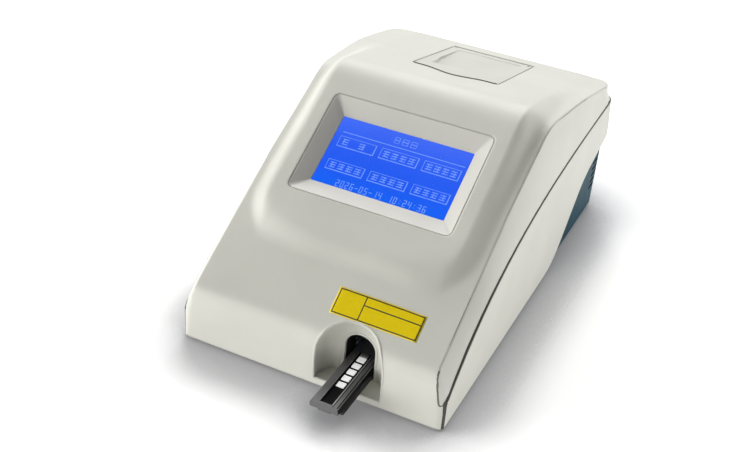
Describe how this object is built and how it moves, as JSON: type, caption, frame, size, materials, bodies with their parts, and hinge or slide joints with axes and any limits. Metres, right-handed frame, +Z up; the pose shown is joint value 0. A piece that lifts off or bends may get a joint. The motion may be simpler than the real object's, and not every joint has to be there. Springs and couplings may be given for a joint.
{
  "type": "urine analyzer",
  "caption": "Benchtop urine strip analyzer: wedge-shaped casing, tilted touch screen, sliding strip tray in an arched niche, thermal printer under a hinged lid.",
  "frame": {"origin": "on the table under the middle of the bounding box, with the strip tray out as in the picture", "axes": "+X to the analyzer's right seen from its front, +Y from its front to its rear, +Z up"},
  "size_m": [0.181, 0.3524, 0.14],
  "materials": {
    "casing": "fine satin moulded plastic, warm light grey",
    "casing_lower": "fine satin moulded plastic, warm light grey",
    "bezel_plastic": "satin moulded plastic, warm light grey",
    "base_plastic": "semi-gloss moulded plastic, deep teal",
    "foot_rubber": "soft matte black rubber",
    "platen_rubber": "smooth matte rubber sleeve",
    "steel": "bright plated steel",
    "screen_glass": "clear glossy touch panel",
    "lens_glass": "clear polished lens",
    "lcd": "lit blue display with pale figures",
    "circuit_board": "green solder mask",
    "tray_plastic": "dark grey satin plastic",
    "strip_backing": "black matte strip",
    "test_pad": "white absorbent pad",
    "grey_plastic": "mid-grey satin plastic",
    "gear_plastic": "natural acetal",
    "black_plastic": "black satin plastic",
    "copper_winding": "taped winding and core",
    "paper": "matte white thermal paper"
  },
  "bodies": {
    "housing": {"upper_shell": "casing", "middle_shell": "casing_lower", "base_housing": "base_plastic", "screen_bezel": "bezel_plastic", "foot_front_left": "foot_rubber", "foot_front_right": "foot_rubber", "foot_rear_left": "foot_rubber", "foot_rear_right": "foot_rubber", "case_screw_front_left": "steel", "case_screw_front_right": "steel", "case_screw_rear_left": "steel", "case_screw_rear_right": "steel", "touch_panel": "screen_glass", "lcd_module": "lcd", "lcd_board": "circuit_board", "tray_guide": "black_plastic", "light_shroud": "black_plastic", "tray_motor": "steel", "motor_bracket": "steel", "optics_bracket": "steel", "optical_head": "black_plastic", "optical_lens": "lens_glass", "sensor_board": "circuit_board", "main_board": "circuit_board", "buzzer": "black_plastic", "power_board": "circuit_board", "transformer": "copper_winding", "paper_bucket": "black_plastic", "roll_spindle": "grey_plastic", "lid_pin": "steel", "printer_frame": "steel", "thermal_head": "steel", "printer_motor": "steel", "power_inlet": "black_plastic", "inlet_blade_line": "steel", "inlet_blade_neutral": "steel", "inlet_blade_earth": "steel", "switch_frame": "black_plastic", "serial_port": "steel", "usb_port": "steel"},
    "tray": {"strip_tray": "tray_plastic", "test_strip": "strip_backing", "test_pad_1": "test_pad", "test_pad_2": "test_pad", "test_pad_3": "test_pad", "test_pad_4": "test_pad", "test_pad_5": "test_pad", "strip_stop": "grey_plastic", "tray_rack": "gear_plastic"},
    "tray_drive": {"tray_pinion": "gear_plastic", "tray_motor_shaft": "steel"},
    "lid": {"printer_lid": "casing"},
    "paper": {"paper_roll": "paper"},
    "platen": {"platen_roller": "platen_rubber", "platen_shaft": "steel", "platen_gear": "gear_plastic"},
    "idler": {"idler_gear": "gear_plastic"},
    "printer_drive": {"printer_pinion": "gear_plastic"},
    "rocker": {"power_rocker": "black_plastic"}
  },
  "joints": [
    {"name": "tray_slide", "type": "slide", "parent": "housing", "child": "tray", "axis": [0, 1, 0], "range_m": [0, 0.048]},
    {"name": "pinion_spin", "type": "hinge", "parent": "housing", "child": "tray_drive", "pos_m": [0.006, -0.0592, 0.013], "axis": [0, 0, 1], "range_deg": [-5, 350]},
    {"name": "lid_hinge", "type": "hinge", "parent": "housing", "child": "lid", "pos_m": [0, 0.13524, 0.11278], "axis": [-1, 0, 0], "range_deg": [0, 85]},
    {"name": "roll_spin", "type": "hinge", "parent": "housing", "child": "paper", "pos_m": [0, 0.1123, 0.0935], "axis": [1, 0, 0], "continuous": true},
    {"name": "platen_spin", "type": "hinge", "parent": "housing", "child": "platen", "pos_m": [0, 0.0703, 0.1165], "axis": [1, 0, 0], "continuous": true},
    {"name": "idler_spin", "type": "hinge", "parent": "housing", "child": "idler", "pos_m": [0.0343, 0.07873, 0.10714], "axis": [1, 0, 0], "continuous": true},
    {"name": "printer_drive_spin", "type": "hinge", "parent": "housing", "child": "printer_drive", "pos_m": [0.0343, 0.07057, 0.10333], "axis": [1, 0, 0], "continuous": true},
    {"name": "rocker_hinge", "type": "hinge", "parent": "housing", "child": "rocker", "pos_m": [-0.018, 0.1691, 0.036], "axis": [1, 0, 0], "range_deg": [0, 14]}
  ],
  "couplings": [
    {"joint": "pinion_spin", "follows": "tray_slide", "rad_per_m": 125},
    {"joint": "idler_spin", "follows": "platen_spin", "ratio": -1.3333},
    {"joint": "printer_drive_spin", "follows": "platen_spin", "ratio": 2}
  ]
}
